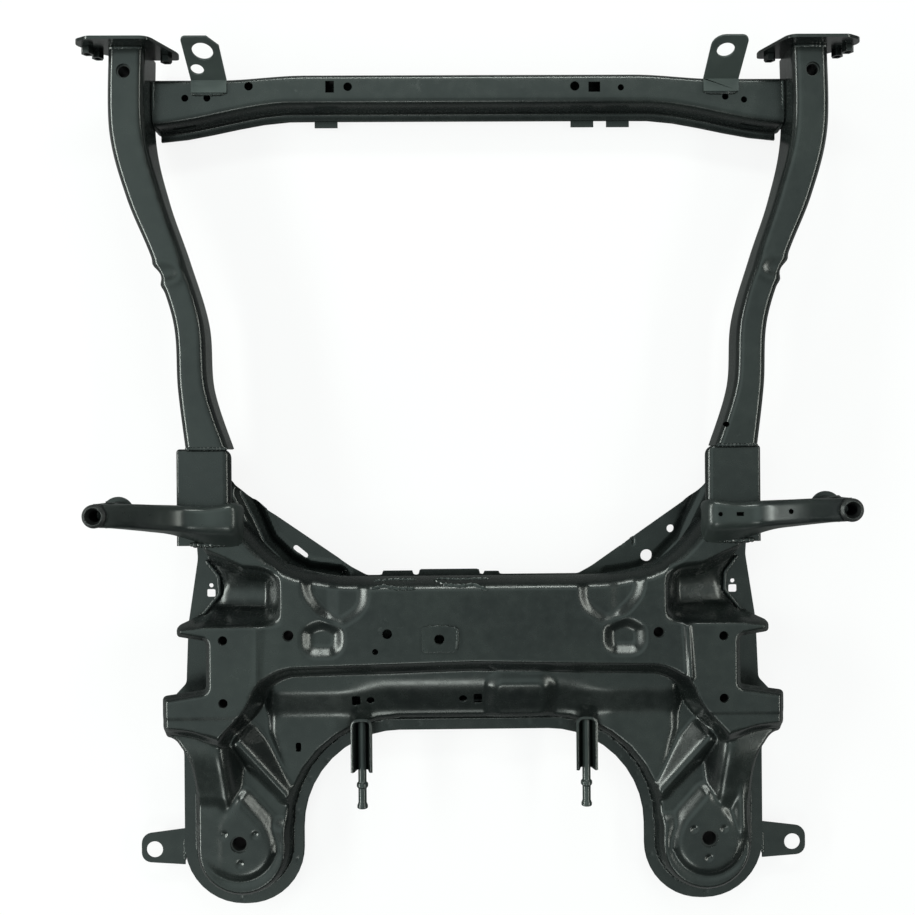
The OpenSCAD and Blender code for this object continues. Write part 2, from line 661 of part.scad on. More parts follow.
module horn_channel(side, d0, d1, wide, up) {
    steps = 3;
    last = (len(horn_rows) - 1) * steps;
    rings = [
        for (k = [0:last])
            let (ring = horn_ring(through(horn_rows, k / steps), d0, d1, wide, sheet, up))
            up > 0 ? ring : concat([for (i = [5:-1:0]) ring[i]], [for (i = [11:-1:6]) ring[i]])];
    at_side(side) difference() {
        swept_wall(rings, false);
        translate([horn_x, horn_y, 0]) cylinder(d = sleeve_od + 0.6, h = 400);
        translate([horn_x, horn_y - 60, 0]) cube([80, 120, 400]);
    }
}

module horn_upper(side) {
    color(paint_light) difference() {
        horn_channel(side, 0, horn_h * 0.6, 0, 1);
        if (side > 0)
            for (x = [303, 330])
                drill(x, horn_y - 16, pad_z + horn_h, 6, 30);
    }
}

module horn_lower(side) {
    color(paint) horn_channel(side, horn_h, horn_h * 0.4, sheet + 0.3, -1);
}

horn_foot = mix(pad_z + horn_h, horn_top, 0.1);
module horn_sleeve(side) {
    h = horn_top - horn_foot;
    color(paint) translate([side * horn_x, horn_y, horn_foot]) rotate_extrude()
        polygon([[horn_bore / 2, 0], [sleeve_od / 2, 0], [sleeve_od / 2, h - 3], [sleeve_od / 2 - 3, h],
            [horn_bore / 2 + 3, h], [horn_bore / 2, h - 8]]);
}

module horn_washer(side) {
    color(paint) tube(side * horn_x, horn_y, horn_foot - gap - 4, horn_foot - gap, sleeve_od + 11, horn_bore + 2);
}

// Bracket and rod that carry an exhaust rubber
hanger_y = arch_y + 9;
hanger_z = lobe_z - 10.4;
module hanger_bracket(side) {
    w = 28;
    l = 68;
    h = 20;
    color(paint_light) at_side(side) translate([143, hanger_y, hanger_z]) difference() {
        translate([-w / 2, -l, 0]) cube([w, l, h]);
        translate([-w / 2 + sheet, -l - 1, sheet]) cube([w - 2 * sheet, l + 2, h]);
        translate([-w, -l, h - 9]) rotate([12, 0, 0]) cube([2 * w, l + 20, h]);
    }
}

module hanger_rod(side) {
    l = 66 + rod_reach;
    r = rod_d / 2;
    color(paint) translate([side * 143, hanger_y - 2, hanger_z + sheet + 0.1 + r]) rotate([90, 0, 0])
        rotate_extrude()
            polygon([[0, 0], [r - 2, 0], [r, 2], [r, l - 34], [r + 2, l - 32], [r + 2, l - 28], [r, l - 26],
                [r, l - 8], [r + 1.5, l - 4], [r + 1.5, l - 1], [r, l], [0, l]]);
}

lower_plate();
rear_tab(-1);  // left_rear_tab
rear_tab(1);  // right_rear_tab
upper_shell();
rear_sleeve(-1);  // left_rear_sleeve
rear_sleeve(1);  // right_rear_sleeve
arm_tubes(-1);  // left_arm_tubes
arm_tubes(1);  // right_arm_tubes
rack_tube(-1);  // left_rack_tube
rack_tube(1);  // right_rack_tube
washer_plate();
socket(-1);  // left_socket
socket(1);  // right_socket
rail(-1);  // left_rail
rail(1);  // right_rail
rail_sleeve(-1);  // left_rail_sleeve
rail_sleeve(1);  // right_rail_sleeve
cross_upper();
cross_lower();
end_plate(-1);  // left_end_plate
end_plate(1);  // right_end_plate
end_nuts(-1);  // left_end_nuts
end_nuts(1);  // right_end_nuts
radiator_tab(-1);  // left_radiator_tab
radiator_tab(1);  // right_radiator_tab
horn_lower(-1);  // left_horn_lower
horn_lower(1);  // right_horn_lower
horn_upper(-1);  // left_horn_upper
horn_upper(1);  // right_horn_upper
horn_sleeve(-1);  // left_horn_sleeve
horn_sleeve(1);  // right_horn_sleeve
horn_washer(-1);  // left_horn_washer
horn_washer(1);  // right_horn_washer
hanger_bracket(-1);  // left_hanger_bracket
hanger_bracket(1);  // right_hanger_bracket
hanger_rod(-1);  // left_hanger_rod
hanger_rod(1);  // right_hanger_rod
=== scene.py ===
import math

import bmesh
import bpy
import numpy as np
from mathutils import Matrix, Vector


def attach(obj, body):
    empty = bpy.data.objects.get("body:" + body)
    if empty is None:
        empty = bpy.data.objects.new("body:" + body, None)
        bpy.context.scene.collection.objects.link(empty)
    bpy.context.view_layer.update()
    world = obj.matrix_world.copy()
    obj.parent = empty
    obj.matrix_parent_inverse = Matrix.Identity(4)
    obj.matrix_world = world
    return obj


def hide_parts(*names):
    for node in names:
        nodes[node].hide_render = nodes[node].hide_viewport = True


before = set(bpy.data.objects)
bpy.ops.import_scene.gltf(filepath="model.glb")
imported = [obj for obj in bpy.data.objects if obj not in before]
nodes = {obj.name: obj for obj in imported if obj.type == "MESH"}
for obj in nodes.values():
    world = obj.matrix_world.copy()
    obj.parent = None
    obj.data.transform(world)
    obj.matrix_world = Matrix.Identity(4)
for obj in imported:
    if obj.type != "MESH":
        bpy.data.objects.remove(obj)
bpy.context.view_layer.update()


# Lower pressing: the bottom half of the cradle, one steel sheet drawn into a shallow tray with a flat
# flange all round it and a wing at each front corner. The welded frame is dipped in black paint, so all
# of it has one satin skin, with faint clouds, orange peel and a paler grey in patches on what faces up.

MM = 0.001
sheet_wall = 2.5
sheet_roll = 0.6
paint_deep = (0.0042, 0.0052, 0.0055)
paint_pale = (0.0115, 0.0140, 0.0130)
upward_grey = (0.075, 0.083, 0.079, 1)
scuff_grey = (0.070, 0.074, 0.072, 1)


def node_tools(tree):
    def add(kind, **values):
        made = tree.nodes.new(kind)
        for key, value in values.items():
            if key in made.inputs:
                made.inputs[key].default_value = value
            else:
                setattr(made, key, value)
        return made

    def link(source, out, target, into):
        tree.links.new(source.outputs[out], target.inputs[into])

    def ramp(source, out, span, levels, **values):
        made = add("ShaderNodeMapRange", **values)
        for key, value in zip(("From Min", "From Max", "To Min", "To Max"), (*span, *levels)):
            made.inputs[key].default_value = value
        link(source, out, made, "Value")
        return made

    def combine(operation, *sources):
        made = add("ShaderNodeMath", operation=operation)
        for i, (source, out) in enumerate(sources):
            link(source, out, made, i)
        return made

    return add, link, ramp, combine


def black_paint(name, light=1.0, gloss=0.0, seed=0.0):
    mat = bpy.data.materials.new(name)
    mat.use_nodes = True
    add, link, ramp, combine = node_tools(mat.node_tree)
    shader = mat.node_tree.nodes["Principled BSDF"]
    shader.inputs["Specular IOR Level"].default_value = 0.55
    shader.inputs["Coat Weight"].default_value = 0.12
    shader.inputs["Coat Roughness"].default_value = 0.16

    place = add("ShaderNodeTexCoord")
    shift = add("ShaderNodeMapping", Location=(seed, 0.37 * seed, 0.11 * seed))
    link(place, "Object", shift, "Vector")
    clouds = add("ShaderNodeTexNoise", Scale=9.0, Detail=3.0, Roughness=0.55)
    mottle = add("ShaderNodeTexNoise", Scale=70.0, Detail=4.0, Roughness=0.6)
    peel = add("ShaderNodeTexNoise", Scale=620.0, Detail=2.0)
    scuffs = add("ShaderNodeTexNoise", Scale=28.0, Detail=6.0, Roughness=0.72)
    for noise in (clouds, mottle, peel, scuffs):
        link(shift, "Vector", noise, "Vector")

    # light scales the paint's colour; set far from 1 on the horns, radiator tabs, rods and tubes, it paints
    # in light and shade.
    tint = add("ShaderNodeValToRGB")
    for stop, at, colour in zip(tint.color_ramp.elements, (0.34, 0.70), (paint_deep, paint_pale)):
        stop.position = at
        stop.color = (*(c * light for c in colour), 1)
    link(clouds, "Fac", tint, "Fac")

    # What faces up is mixed towards a paler grey in mottled patches, and scuffs show a paler grey.
    facing = add("ShaderNodeNewGeometry")
    split = add("ShaderNodeSeparateXYZ")
    link(facing, "Normal", split, "Vector")
    upward_share = ramp(split, "Z", (0.55, 1.0), (0.0, 0.16))
    upward_patches = combine("MULTIPLY", (upward_share, "Result"), (mottle, "Fac"))
    upward_greyed = add("ShaderNodeMix", data_type="RGBA", B=upward_grey)
    link(upward_patches, "Value", upward_greyed, "Factor")
    link(tint, "Color", upward_greyed, "A")
    worn = ramp(scuffs, "Fac", (0.665, 0.74), (0.0, 0.35))
    scuffed = add("ShaderNodeMix", data_type="RGBA", B=scuff_grey)
    link(worn, "Result", scuffed, "Factor")
    link(upward_greyed, "Result", scuffed, "A")
    link(scuffed, "Result", shader, "Base Color")

    rough = ramp(mottle, "Fac", (0.3, 0.7), (0.22 - gloss, 0.30 - gloss))
    link(rough, "Result", shader, "Roughness")
    ripple = add("ShaderNodeBump", Strength=0.02, Distance=0.0030)
    link(clouds, "Fac", ripple, "Height")
    skin = add("ShaderNodeBump", Strength=0.025, Distance=0.0002)
    link(peel, "Fac", skin, "Height")
    link(ripple, "Normal", skin, "Normal")
    link(skin, "Normal", shader, "Normal")
    return mat


def sharp_edges(bm, degrees):
    folds = [e for e in bm.edges if len(e.link_faces) == 2]
    return [e for e in folds if e.calc_face_angle(0) > math.radians(degrees)]


def roll_edges(bm, edges, width, segments, clamp=True):
    bmesh.ops.bevel(bm, geom=edges, offset=width * MM, segments=segments, profile=0.5, affect="EDGES",
                    material=-1, clamp_overlap=clamp)


def thicken(bm, wall):
    bmesh.ops.solidify(bm, geom=bm.faces[:], thickness=wall * MM)


def face_out(bm):
    bmesh.ops.recalc_face_normals(bm, faces=bm.faces[:])


def places(bm):
    return np.array([v.co for v in bm.verts])


def move_to(bm, spots):
    for v, p in zip(bm.verts, spots):
        v.co = p
    bm.normal_update()


def drawn_normals(bm, height):
    p = places(bm) / MM
    xy, reach, skin = p[:, :2], 1.5, 0.35
    steps = ((reach, 0), (0, reach))
    n = np.stack([(height(xy - step) - height(xy + step)) / (2 * reach) for step in steps], 1)
    n = np.c_[n, np.ones(len(p))]
    n /= np.linalg.norm(n, axis=1)[:, None]
    n[np.abs(p[:, 2] - height(xy)) * n[:, 2] > skin] = 0
    return n.tolist()


def make_piece(name, bm, paint, height=None):
    for f in bm.faces:
        f.smooth = True
    for e in sharp_edges(bm, 40):
        e.smooth = False
    mesh = bpy.data.meshes.new(name)
    bm.to_mesh(mesh)
    if height:
        mesh.normals_split_custom_set_from_vertices(drawn_normals(bm, height))
    bm.free()
    mesh.materials.append(paint)
    piece = bpy.data.objects.new(name, mesh)
    bpy.context.scene.collection.objects.link(piece)
    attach(piece, "root")
    return piece


def ease(t):
    t = np.clip(t, 0, 1)
    return t * t * (3 - 2 * t)


def inside(d, w):
    return ease(0.5 - d / w)


def mix(a, b, t):
    return a + (b - a) * t


def rounded(corners, steps=10):
    line = []
    for i, (x, y, run) in enumerate(corners):
        p = np.array([x, y], float)
        u = np.array(corners[i - 1][:2]) - p
        v = np.array(corners[(i + 1) % len(corners)][:2]) - p
        u, v = u / np.hypot(*u), v / np.hypot(*v)
        w = math.sqrt(max((1 - u @ v) / 2, 0))
        for t in np.linspace(0, 1, steps + 1) if run else [0.5]:
            s = 1 - t
            arc = s * s * (p + u * run) + 2 * w * s * t * p + t * t * (p + v * run)
            line.append(arc / (s * s + 2 * w * s * t + t * t))
    return np.array(line)


def both_sides(half):
    return half + [(-x, y, run) for x, y, run in reversed(half)]


def folded(q):
    return np.stack([np.abs(q[:, 0]), q[:, 1]], 1)


def round_hole(x, y, d):
    a = np.linspace(0, 2 * np.pi, 28, endpoint=False)
    return np.stack([x + d / 2 * np.cos(a), y + d / 2 * np.sin(a)], 1)


def bolt_hole(s, spot, d):
    return round_hole(s * spot[0], spot[1], d)


def square_hole(x, y, w, l, turn=0, r=1.5):
    a, b = w / 2, l / 2
    line = rounded([(a, b, r), (-a, b, r), (-a, -b, r), (a, -b, r)], 3)
    c, s = math.cos(math.radians(turn)), math.sin(math.radians(turn))
    return line @ np.array([[c, s], [-s, c]]) + [x, y]


# Distance of points from a closed line, less than zero within it, and the nearest points on it.
def to_line(p, line):
    best, near, odd = np.full(len(p), 1e9), np.zeros((len(p), 2)), np.zeros(len(p), bool)
    for s, e in zip(line, np.roll(line, -1, 0)):
        v = e - s
        if v @ v < 1e-9:
            continue
        t = np.clip((p - s) @ v / (v @ v), 0, 1)
        q = s + t[:, None] * v
        d = np.hypot(*(p - q).T)
        near = np.where((d < best)[:, None], q, near)
        best = np.minimum(best, d)
        if s[1] != e[1]:
            crosses = (s[1] > p[:, 1]) != (e[1] > p[:, 1])
            odd ^= crosses & (p[:, 0] < v[0] * (p[:, 1] - s[1]) / v[1] + s[0])
    return np.where(odd, -best, best), near


def to_path(p, points):
    best = np.full(len(p), 1e9)
    for a, b in zip(points[:-1], points[1:]):
        a, b = np.array(a, float), np.array(b, float)
        t = np.clip((p - a) @ (b - a) / ((b - a) @ (b - a)), 0, 1)
        best = np.minimum(best, np.hypot(*(p - a - t[:, None] * (b - a)).T))
    return best


def to_box(p, c, half, r):
    q = np.abs(p - c) - half + r
    return np.hypot(np.maximum(q[:, 0], 0), np.maximum(q[:, 1], 0)) + np.minimum(q.max(1), 0) - r


# A flat grid, trimmed to the edge and the holes, with its rim moved onto them.
def blank(edge, holes, cell):
    low, high = edge.min(0), edge.max(0)
    columns, rows = np.ceil((high - low) / cell).astype(int)
    bm = bmesh.new()
    bmesh.ops.create_grid(bm, x_segments=int(columns), y_segments=int(rows), size=1)
    flat = places(bm)
    flat[:, :2] = mix(low, high, (flat[:, :2] + 1) / 2)
    move_to(bm, flat)
    faces = bm.faces[:]
    mid = np.array([f.calc_center_median()[:2] for f in faces])
    gone = to_line(mid, edge)[0] > 0
    for hole in holes:
        gone |= to_line(mid, hole)[0] < 0
    bmesh.ops.delete(bm, geom=[f for f, g in zip(faces, gone) if g], context="FACES")
    rim = [v for v in bm.verts if v.is_boundary]
    p = np.array([v.co[:2] for v in rim])
    best, spot = to_line(p, edge)
    best = np.abs(best)
    for hole in holes:
        d, near = to_line(p, hole)
        closer = np.abs(d) < best
        best = np.where(closer, np.abs(d), best)
        spot = np.where(closer[:, None], near, spot)
    for v, q in zip(rim, spot):
        v.co.x, v.co.y = q
    return bm


# The blank pressed to a height, with rows of its grid drawn onto the creases so that they stay crisp.
def pressed_sheet(edge, holes, height, cell, creases=()):
    bm = blank(edge, holes, cell)
    flat = places(bm)
    free = np.array([not v.is_boundary for v in bm.verts])
    for line, offsets in creases:
        half = np.where(flat[:, :1] < 0, -1.0, 1.0) * [1, 0] + [0, 1]
        d, near = to_line(flat[:, :2] * half, line)
        for offset in offsets:
            pull = free & (np.abs(d - offset) < 0.5 * cell) & (np.abs(d) > 0.2)
            share = (offset / np.where(pull, d, 1))[:, None]
            moved = (near + (flat[:, :2] * half - near) * share) * half
            flat[pull, :2] = moved[pull]
            free &= ~pull
    flat[:, 2] = height(flat[:, :2])
    move_to(bm, flat * MM)
    thicken(bm, sheet_wall)
    face_out(bm)
    roll_edges(bm, sharp_edges(bm, 55), sheet_roll, 2)
    return bm


rear_mount, rack_bolt = (300, -458), (231, -188.5)
front_arm_bolt, rear_arm_bolt = (312, -193.5), (312, -271.5)
plate_edge = rounded(both_sides([
    (155, -112, 6), (298, -13, 6), (313, 3, 3), (322, 14.5, 4), (366, 14.5, 8), (358, -97.5, 4),
    (371, -183.5, 6), (374, -259.5, 4), (389, -275.5, 4), (389, -317.5, 8), (377, -345.5, 10),
    (377, -547.5, 76), (222, -547.5, 73), (222, -323.5, 125)]) + [
    (-138, -121, 3), (-119, -121, 0), (-117, -115.5, 0), (-79, -115.5, 0), (-77, -121, 0), (-71, -121, 0),
    (-69, -114, 0), (8, -114, 0), (10, -121, 0), (14, -121, 0), (15, -117, 0), (34, -117, 0), (36, -121, 0),
    (138, -121, 3)])
tray_edge = rounded(both_sides([
    (240, -127.5, 30), (329, -165.5, 24), (329, -285.5, 30), (353, -375.5, 20), (353, -523.5, 53),
    (243, -523.5, 53), (243, -299.5, 145)]))
plate_holes = [square_hole(-224, -89.5, 7, 23, 50, 3.4), round_hole(260, -63.5, 10.5),
               round_hole(228, -98.5, 16)]
for s in (-1, 1):
    plate_holes += [bolt_hole(s, rear_mount, 20), bolt_hole(s, rack_bolt, 14.5),
                    bolt_hole(s, front_arm_bolt, 12), bolt_hole(s, rear_arm_bolt, 12),
                    round_hole(s * 341, -132.5, 6), square_hole(s * 341, -142.5, 11, 10),
                    round_hole(s * 120, -235.5, 14)]
plate_top, tray_depth = 20, 17.5
wing_groove = [(298, -12), (281, -46), (268, -76), (240, -104), (214, -117), (176, -122)]
left_groove_depth, left_lip, right_groove_depth = 9, 1.6, 2.5
loop_spot, loop_half, loop_depth = (204, -84), (7, 12), 2.5


def plate_height(q):
    z = plate_top - tray_depth * inside(to_line(q, tray_edge)[0] + 4, 9)
    left = q[:, 0] < 0
    groove = to_path(folded(q), wing_groove)
    z -= np.where(left, left_groove_depth * inside(groove - 9, 9), right_groove_depth * inside(groove - 6, 9))
    z += np.where(left, left_lip * np.exp(-((groove - 16.5) / 2.6) ** 2), 0)
    loop = np.abs(to_box(q, loop_spot, loop_half, 6))
    z -= np.where(left, 0, loop_depth * inside(loop - 1, 3) * inside(loop_spot[1] - q[:, 1], 4))
    return z


sheet_paint = black_paint("black paint on sheet", seed=1.0)
plate_sheet = pressed_sheet(plate_edge, plate_holes, plate_height, 2.6, [(tray_edge, (-8.5, 0.5))])
lower = make_piece("cradle_lower_pressing", plate_sheet, sheet_paint, height=plate_height)
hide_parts("lower_plate")


# Rear tabs: small drilled plates at the two rear corners, blanked from steel sheet and welded to the
# edge of the flange. Their blanked edges are slightly rolled.

def even_shading(piece):
    even = piece.modifiers.new("even shading", "WEIGHTED_NORMAL")
    even.keep_sharp = True


def softened(node, name, width, paint, segments=2):
    bm = bmesh.new()
    bm.from_mesh(nodes[node].data)
    bmesh.ops.remove_doubles(bm, verts=bm.verts[:], dist=0.00002)
    bmesh.ops.dissolve_limit(bm, angle_limit=math.radians(1), verts=bm.verts[:], edges=bm.edges[:])
    roll_edges(bm, sharp_edges(bm, 28), width, segments)
    piece = make_piece(name, bm, paint)
    even_shading(piece)
    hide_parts(node)


sides = (("left", -1), ("right", 1))
tab_paint = black_paint("black paint on tabs", light=1.1, seed=4.0)
for side, s in sides:
    softened(side + "_rear_tab", side + "_rear_tab_plate", 0.6, tab_paint)


# Sleeves and tubes inside the cradle: thick turned tubes that stand between the two pressings and take
# the clamping force of the body mount, control arm and steering gear bolts. Their ends show through the
# holes, thinly painted and rougher, and their paint is darker than the sheet's as painted shade in the holes.

tube_paint = black_paint("tube paint darkened as painted shade", light=0.5, gloss=-0.25, seed=7.0)
for side, s in sides:
    for part in ("_rear_sleeve", "_arm_tubes", "_rack_tube", "_rail_sleeve"):
        for place in nodes[side + part].material_slots:
            place.material = tube_paint


# Upper pressing: the top half of the cradle, deep drawn from one sheet. It has the beam across the front
# with its steering wells and half-pipes, the bearing pads, the rear trough and the two rear lobes, all
# inside a flat flange that is spot welded to the lower pressing.

shell_edge = rounded([
    (-80, -118.5, 0), (195, -118.5, 45), (250, -95.5, 30), (291.2, -45.5, 0), (291.2, -75.9, 0),
    (349, -75.9, 4), (349, -97.5, 8), (331, -120.5, 10), (330, -143.5, 10), (351, -168.5, 6),
    (371, -176.5, 4), (371, -189.5, 4), (335, -195.5, 4), (335, -255.5, 4), (389, -263.5, 5),
    (389, -317.5, 8), (377, -345.5, 10), (377, -546.5, 77), (223, -546.5, 74), (223, -322.5, 125),
    (-80, -323.5, 0)])
right_half = shell_edge[shell_edge[:, 0] > 0]
shell_line = np.concatenate([right_half, right_half[::-1] * [-1, 1]])
wall_line = rounded([
    (-80, -115.5, 0), (195, -115.5, 45), (247, -94.5, 30), (290, -45.5, 0), (290, 24.5, 0), (344, 24.5, 0),
    (344, -97.5, 6), (326, -120.5, 10), (325, -143.5, 10), (346, -168.5, 4), (440, -173.5, 0),
    (440, -325.5, 0), (383, -325.5, 8), (366, -350.5, 14), (361, -385.5, 18), (361, -531.5, 63),
    (235, -531.5, 63), (235, -307.5, 138), (-80, -307.5, 0)], 8)
pad_line = rounded([
    (-80, 100, 0), (460, 100, 0), (460, -311, 0), (368, -311, 16), (344, -316, 10), (317, -329, 5),
    (272, -285.5, 22), (264, -258.5, 12), (240, -240.5, 16), (-80, -232.5, 0)], 6)
bowl_line = rounded([(128, -90, 2), (128, -160, 20), (166, -185, 14), (198, -166, 14), (218, -140, 16),
                     (218, -90, 2)])
pocket_line = rounded([(158, -178, 12), (190, -162, 18), (219, -178, 12), (219, -220, 22), (159, -220, 22)])
seat_line = rounded([(299, -400, 5), (341, -446, 25), (341, -502, 41), (258, -502, 41), (258, -446, 25)])
short_rib_path = [(298, -328), (241, -398)]
side_bar_path = [(352, -330), (343, -364), (341, -396), (342, -462), (336, -488)]
step_rib_path = [(266, -182), (270, -244)]
seat_dimples = ((-20, 12), (19, 12), (-1, -25))
flange_dimples = ((111, -316), (71, -315), (190, -362), (212, -385), (228, -428), (230, -490), (302, -540))
beam_top, trough_top, outer_top, seat_top, bar_top, lobe_floor, flange_top = 90.5, 68, 66, 58, 54, 44, 22.7
well_depth, bump_height, half_pipe_floor = 9, 9, 24
step_height, left_rib_height, right_rib_height = 1.5, 0.8, 3.6


def bend(h, r):
    return r * np.logaddexp(0, h / r)


def highest(k, *levels):
    return k * np.logaddexp.reduce(np.array(np.broadcast_arrays(*levels)) / k)


def dimple(p, c, depth, w):
    return depth * np.exp(-((p - c) ** 2).sum(1) / (w * w))


def lobe_height(q, p, right):
    x, y = p.T

    # Two ribs run down from the pad to the seat.
    t = np.clip((-328 - y) / 86, 0, 1)
    off = x - mix(319, 311, t)
    long_rib = mix(80, 62.5, ease(t)) - 0.18 * bend(off, 3.5) - 1.5 * bend(-off, 3.5)
    long_rib = long_rib - 40 * ease((y + 296) / 12) - 18 * ease((-396 - y) / 60)
    t = np.clip((-330 - y) / 68, 0, 1)
    short_rib = mix(71, 55, t) - 1.3 * bend(to_path(p, short_rib_path) - 4, 2)

    # The trough between the lobes is rounded, and goes over into the stepped side of the lobe.
    flank = x - np.interp(-y, (0, 320, 380, 400), (257, 257, 241, 234))
    outer = outer_top - 0.04 * (-240 - y) - 0.40 * (bend(-264 - y, 2.5) - bend(-297 - y, 2.5))
    outer = outer - 1.25 * bend(flank, 3)
    u = np.clip(-240 - y, 0, 30)
    trough = trough_top - 0.05 * u - 0.009 * u ** 2 - 0.59 * np.clip(-270 - y, 0, 38)
    outer = mix(trough, outer, ease((x - 110) / 70))

    # The seat carries the body mount, with a raised bar round it.
    seat = to_line(p, seat_line)[0]
    pad = seat_top - 0.95 * bend(seat + 2, 2.5)
    bar = bar_top - 0.7 * bend(11 - seat, 2.5) - 30 * ease((y + 446) / 44) - 60 * inside(seat, 4)
    side_bar = np.where(right, 60, 0) - 10 * ease((-440 - y) / 46)
    side_bar = side_bar - 0.9 * bend(to_path(p, side_bar_path) - 3, 2)
    z = highest(2.0, lobe_floor, short_rib, outer, pad, bar, side_bar, long_rib)

    # The left lobe is plain on its outer side, and the trough has a bump on the right.
    plain = np.where(right, 0, 1) * ease((x - 314) / 16) * ease((y + 512) / 40) * ease((-396 - y) / 22)
    z = mix(z, 57 - 0.12 * (x - 314), plain)
    z += bump_height * inside(to_box(q, (59, -275), (38, 29), 16), 22)
    for dx, dy in seat_dimples:
        z -= dimple(p, (rear_mount[0] + dx, rear_mount[1] + dy), 2.6, 3.6)
    return z


def beam_height(p, right, wall):
    x, y = p.T

    # A half-pipe for the steering gear slopes down to each side.
    scoop = 12 * (1 - np.sin(np.pi * np.clip((y + 170) / 58, 0, 1)))
    floor = half_pipe_floor + 0.19 * (330 - x) + scoop
    front = np.interp(x, (256, 288, 314, 348), (-101, -98, -86, -72))
    half_pipe = ease((x - 238) / 30) * ease((y + 179) / 22) * ease((front - y) / 28)

    # Two wells lie beside it, and a step and a rib cross the pad.
    bowl = inside(to_line(p, bowl_line)[0] + 9, 18) * (1 - 0.3 * ease((184 - x) / 16))
    pocket = inside(to_line(p, pocket_line)[0] + 10, 20)
    step = step_height * inside(268 - x, 8) * inside(to_box(p, (330, -230.5), (64, 60), 8), 6)
    rib_height = np.where(right, right_rib_height, left_rib_height)
    rib = rib_height * np.exp(-(to_path(p, step_rib_path) / 4.2) ** 2)
    top = beam_top - well_depth * bowl - well_depth * pocket + step + rib

    # The front edge rolls down to the wall, and the outer rim of the pad to the side.
    top -= 7 * ease((wall + 19) / 14) * ease((y + 150) / 20) * ease((300 - x) / 12)
    z = mix(top, np.minimum(top, floor), half_pipe)
    rim = to_line(p, right_half)[0]
    z -= 11 * np.clip(1 + rim / 9, 0, 1) ** 2 * ease((x - 318) / 10) * ease((-172 - y) / 6)
    return z


def shell_height(q):
    p, right = folded(q), q[:, 0] > 0
    wall, pad_wall = to_line(p, wall_line)[0], to_line(p, pad_line)[0]
    run = 19 - 4 * ease((p[:, 0] - 322) / 20)
    on_beam = inside(pad_wall + run / 2 - 5, run)
    z = mix(lobe_height(q, p, right), beam_height(p, right, wall), on_beam)
    rise = np.sqrt(1 - (1 - np.clip((-wall - 1) / 11, 0, 1)) ** 2)
    z = mix(flange_top, np.maximum(z, flange_top), rise)
    for spot in flange_dimples:
        z -= dimple(p, spot, 0.7, 2.8)
    return z


shell_holes = [round_hole(-108, -187.5, 12.5), round_hole(-123, -209.5, 7.8), round_hole(-43, -194.5, 12.5),
               square_hole(-150, -277.5, 10.5, 14), round_hole(-132, -277.5, 10.5),
               round_hole(-14, -276.5, 10.5), square_hole(5, -276.5, 10.5, 14),
               square_hole(-225, -337.5, 7, 12)]
for s in (-1, 1):
    shell_holes += [bolt_hole(s, rear_mount, 23), bolt_hole(s, front_arm_bolt, 12),
                    bolt_hole(s, rear_arm_bolt, 12), bolt_hole(s, rack_bolt, 14.5)]
shell_creases = [(wall_line, (-1.0, -3.3, -12)), (pad_line, (5, -14))]
shell_sheet = pressed_sheet(shell_line, shell_holes, shell_height, 2.35, shell_creases)
upper = make_piece("cradle_upper_pressing", shell_sheet, sheet_paint, height=shell_height)
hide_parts("upper_shell")


# Reinforcing plate: a thin piece of drilled steel sheet, welded flat on the middle of the beam round one
# of the beam's own holes. Its cut edges are slightly rolled.

softened("washer_plate", "beam_reinforcing_plate", 0.7, tab_paint)


# Rail sockets: folded steel channels on the front corners of the cradle. Each one has a closed front,
# stands on the lower pressing and carries the end of a rail, which is welded to it all round.

socket_length, socket_depth = 120, 71.8
socket_mid_y, socket_mid_z, socket_lean = -15.5, 56.1, 17
socket_inner_fold, socket_outer_fold = 12, 4
for side, s, near, far in (("left", -1, 298.5, 368), ("right", 1, 289.5, 360)):
    middle = (near + far) / 2 * MM
    bm = bmesh.new()
    bmesh.ops.create_cube(bm, size=1)
    bmesh.ops.scale(bm, verts=bm.verts[:], vec=((far - near) * MM, socket_length * MM, socket_depth * MM))
    bmesh.ops.translate(bm, verts=bm.verts[:], vec=(s * middle, socket_mid_y * MM, socket_mid_z * MM))
    for v in bm.verts:
        if v.co.z < socket_mid_z * MM and abs(v.co.x) < middle:
            v.co.x += s * socket_lean * MM
    open_sides = [f for f in bm.faces if f.normal.z < -0.5 or f.normal.y < -0.5]
    bmesh.ops.delete(bm, geom=open_sides, context="FACES_ONLY")
    folds = [e for e in bm.edges if len(e.link_faces) == 2]
    inner = [e for e in folds if all(abs(v.co.x) < middle for v in e.verts)]
    roll_edges(bm, inner, socket_inner_fold, 8, clamp=False)
    roll_edges(bm, sharp_edges(bm, 57), socket_outer_fold, 4, clamp=False)
    thicken(bm, sheet_wall)
    face_out(bm)
    socket = make_piece(side + "_rail_socket", bm, sheet_paint)
    even_shading(socket)
    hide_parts(side + "_socket")


# Rails: bent steel tubes of rounded square section that run from the cradle to the crossmember. They
# narrow at the waist, and each has a crushed place on its outer edge from the bending tool.

def bent_grid(nu, nv, place, closed=False):
    bm = bmesh.new()
    bmesh.ops.create_grid(bm, x_segments=nu, y_segments=nv, size=1)
    uv = (places(bm)[:, :2] + 1) / 2
    move_to(bm, np.asarray(place(uv[:, 0], uv[:, 1])).T * MM)
    if closed:
        bmesh.ops.remove_doubles(bm, verts=bm.verts[:], dist=0.00001)
    face_out(bm)
    return bm


# A smooth curve through rows of sizes, read at places counted in rows.
def through(rows, t):
    rows = np.array(rows, float)
    n = len(rows) - 1
    i = np.minimum(np.floor(t), n - 1).astype(int)
    f = (t - i)[:, None]
    a, b, c, d = rows[np.maximum(i - 1, 0)], rows[i], rows[i + 1], rows[np.minimum(i + 2, n)]
    square, cube = (2 * a - 5 * b + 4 * c - d) * f ** 2, (3 * b - a - 3 * c + d) * f ** 3
    return 0.5 * (2 * b + (c - a) * f + square + cube)


